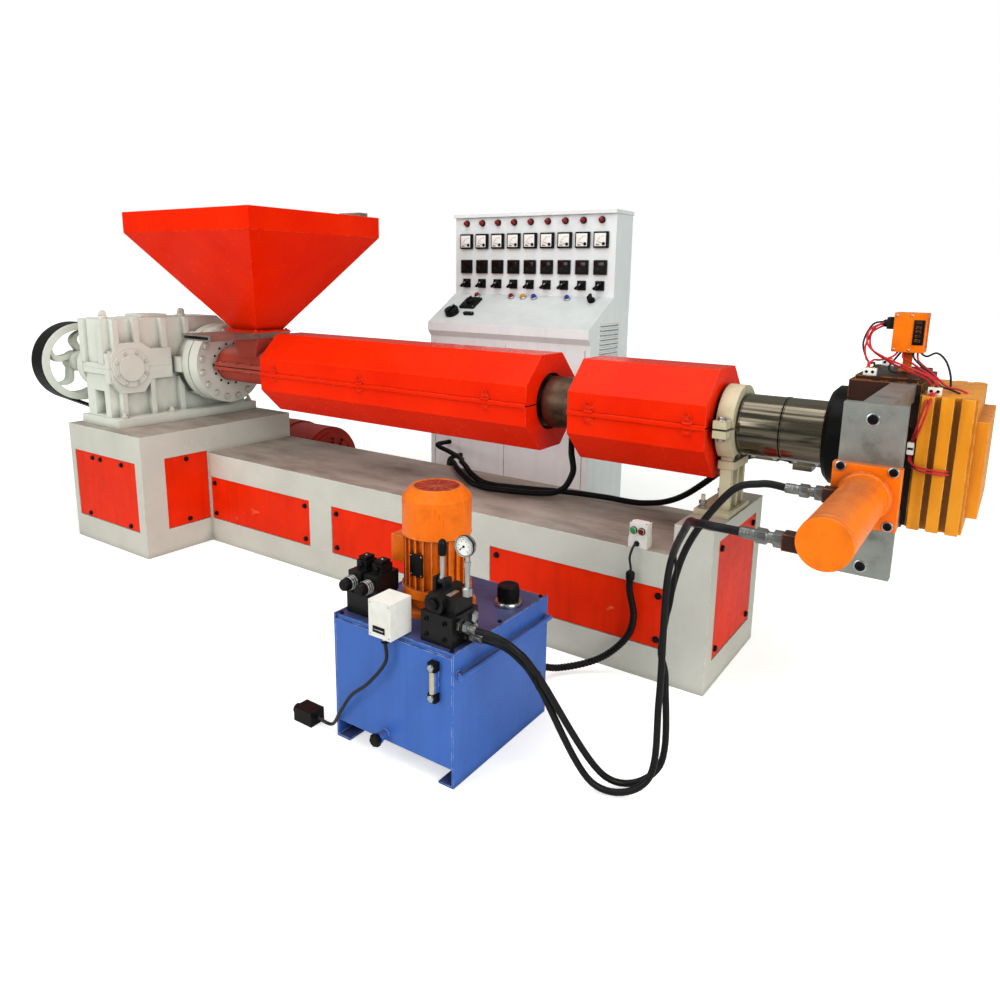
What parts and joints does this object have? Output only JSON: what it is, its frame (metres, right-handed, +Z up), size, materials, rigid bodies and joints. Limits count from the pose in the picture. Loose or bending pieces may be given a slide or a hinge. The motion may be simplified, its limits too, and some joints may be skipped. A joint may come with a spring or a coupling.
{
  "type": "plastic pelletizing extruder",
  "caption": "Plastic pelletizing machine: hopper-fed extruder with gearbox drive, hinged octagonal barrel guards, hydraulic screen changer and die, pump unit and control cabinet.",
  "frame": {"origin": "on the floor, under the barrel axis at the middle of the hopper", "axes": "+X along the barrel towards the die, +Y to the back where the cabinet stands, +Z up"},
  "size_m": [4.091, 2.378, 1.655],
  "materials": {
    "red_paint": "glossy red-orange enamel",
    "grey_paint": "satin warm grey enamel, worn at the edges",
    "cream_paint": "satin cream enamel over rough castings",
    "motor_red": "red enamel",
    "belt_rubber": "matt black",
    "bare_steel": "ground, zinc grey",
    "dark_steel": "heat darkened",
    "polished_steel": "polished stainless sheet",
    "black_paint": "satin black",
    "orange_paint": "orange enamel",
    "amber_paint": "amber orange enamel, heat stained",
    "feed_paint": "red-brown enamel",
    "support_paint": "cream enamel",
    "cabinet_paint": "white powder coat",
    "blue_paint": "blue enamel",
    "black_plastic": "moulded black",
    "lamp_red": "clear red moulding",
    "white_plastic": "moulded white",
    "valve_black": "black phosphated",
    "hose_rubber": "black",
    "grey_sheath": "grey sheath"
  },
  "bodies": {
    "machine": {"gearbox_pedestal": "grey_paint", "bed": "grey_paint", "end_pedestal": "grey_paint", "access_panels": "red_paint", "gearbox_lower_case": "cream_paint", "gearbox_upper_case": "cream_paint", "bearing_caps": "cream_paint", "output_flange": "cream_paint", "drive_belts": "belt_rubber", "motor_pulley": "bare_steel", "main_motor": "motor_red", "barrel": "dark_steel", "barrel_heaters": "dark_steel", "feed_section": "feed_paint", "slide_gate": "bare_steel", "hopper_cone": "red_paint", "hopper_rim": "red_paint", "level_switch": "bare_steel", "guard_brackets": "bare_steel", "guard_1_tray": "red_paint", "guard_2_tray": "red_paint", "support_stand": "support_paint", "support_clamp": "support_paint", "end_heaters": "polished_steel", "barrel_flange": "black_paint", "changer_body": "amber_paint", "screen_slide": "bare_steel", "tie_bars": "bare_steel", "cylinder_plate": "bare_steel", "hydraulic_cylinder": "orange_paint", "die_head": "amber_paint", "die_junction_box": "orange_paint", "cabinet": "cabinet_paint", "panel_meters": "black_plastic", "panel_controls": "black_plastic", "panel_lamps": "lamp_red", "desk_controls": "black_plastic", "oil_tank": "blue_paint", "tank_ends": "blue_paint", "pump_motor": "orange_paint", "lever_valve": "valve_black", "solenoid_valves": "valve_black", "pressure_gauge": "bare_steel", "filler_cap": "black_plastic", "tank_junction_box": "white_plastic", "pendant_box": "white_plastic", "hose_upper": "hose_rubber", "hose_lower": "hose_rubber", "pendant_lead": "hose_rubber", "pendant_conduit": "grey_sheath", "heater_conduit": "grey_sheath", "gap_conduit": "grey_sheath", "tank_cable": "hose_rubber", "cable_plug": "black_plastic"},
    "guard_1_lid": {"guard_1_lid": "red_paint"},
    "guard_2_lid": {"guard_2_lid": "red_paint"},
    "drive_pulley": {"drive_pulley": "cream_paint"},
    "valve_lever": {"valve_lever": "valve_black"}
  },
  "joints": [
    {"name": "guard_1_hinge", "type": "hinge", "parent": "machine", "child": "guard_1_lid", "pos_m": [0.966, 0.188, 0.86], "axis": [-1, 0, 0], "range_deg": [0, 50]},
    {"name": "guard_2_hinge", "type": "hinge", "parent": "machine", "child": "guard_2_lid", "pos_m": [2.1225, 0.188, 0.86], "axis": [-1, 0, 0], "range_deg": [0, 100]},
    {"name": "pulley_spin", "type": "hinge", "parent": "machine", "child": "drive_pulley", "pos_m": [-0.9, -0.44, 0.86], "axis": [1, 0, 0], "continuous": true},
    {"name": "lever_swing", "type": "hinge", "parent": "machine", "child": "valve_lever", "pos_m": [1.979, -1.011, 0.533], "axis": [1, 0, 0], "range_deg": [-20, 20]}
  ]
}
